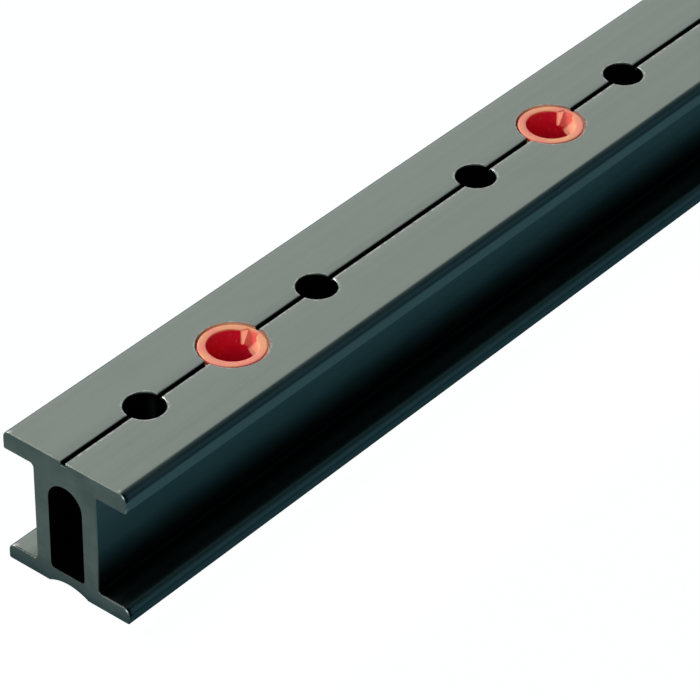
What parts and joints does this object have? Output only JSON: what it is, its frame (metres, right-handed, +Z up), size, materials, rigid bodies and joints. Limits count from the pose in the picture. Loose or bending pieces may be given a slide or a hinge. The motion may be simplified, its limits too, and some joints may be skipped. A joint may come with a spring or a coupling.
{
  "type": "sail track section",
  "caption": "Straight length of hollow I-beam sail track with a centre-line groove, a row of stop-pin holes and flush plastic inserts in the screw holes.",
  "frame": {"origin": "the middle of the underside, halfway along the track", "axes": "+X along the track, from the end nearest in the picture to the far end; +Z up, out of the top face; +Y across"},
  "size_m": [0.595, 0.031, 0.031],
  "materials": {
    "anodised_aluminium": "hard anodised, dark grey with a teal cast, satin",
    "insert_plastic": "moulded, orange-red, low gloss"
  },
  "bodies": {
    "root": {"i_beam_track": "anodised_aluminium", "fastener_insert_01": "insert_plastic", "fastener_insert_02": "insert_plastic", "fastener_insert_03": "insert_plastic", "fastener_insert_04": "insert_plastic", "fastener_insert_05": "insert_plastic", "fastener_insert_06": "insert_plastic"}
  },
  "joints": []
}
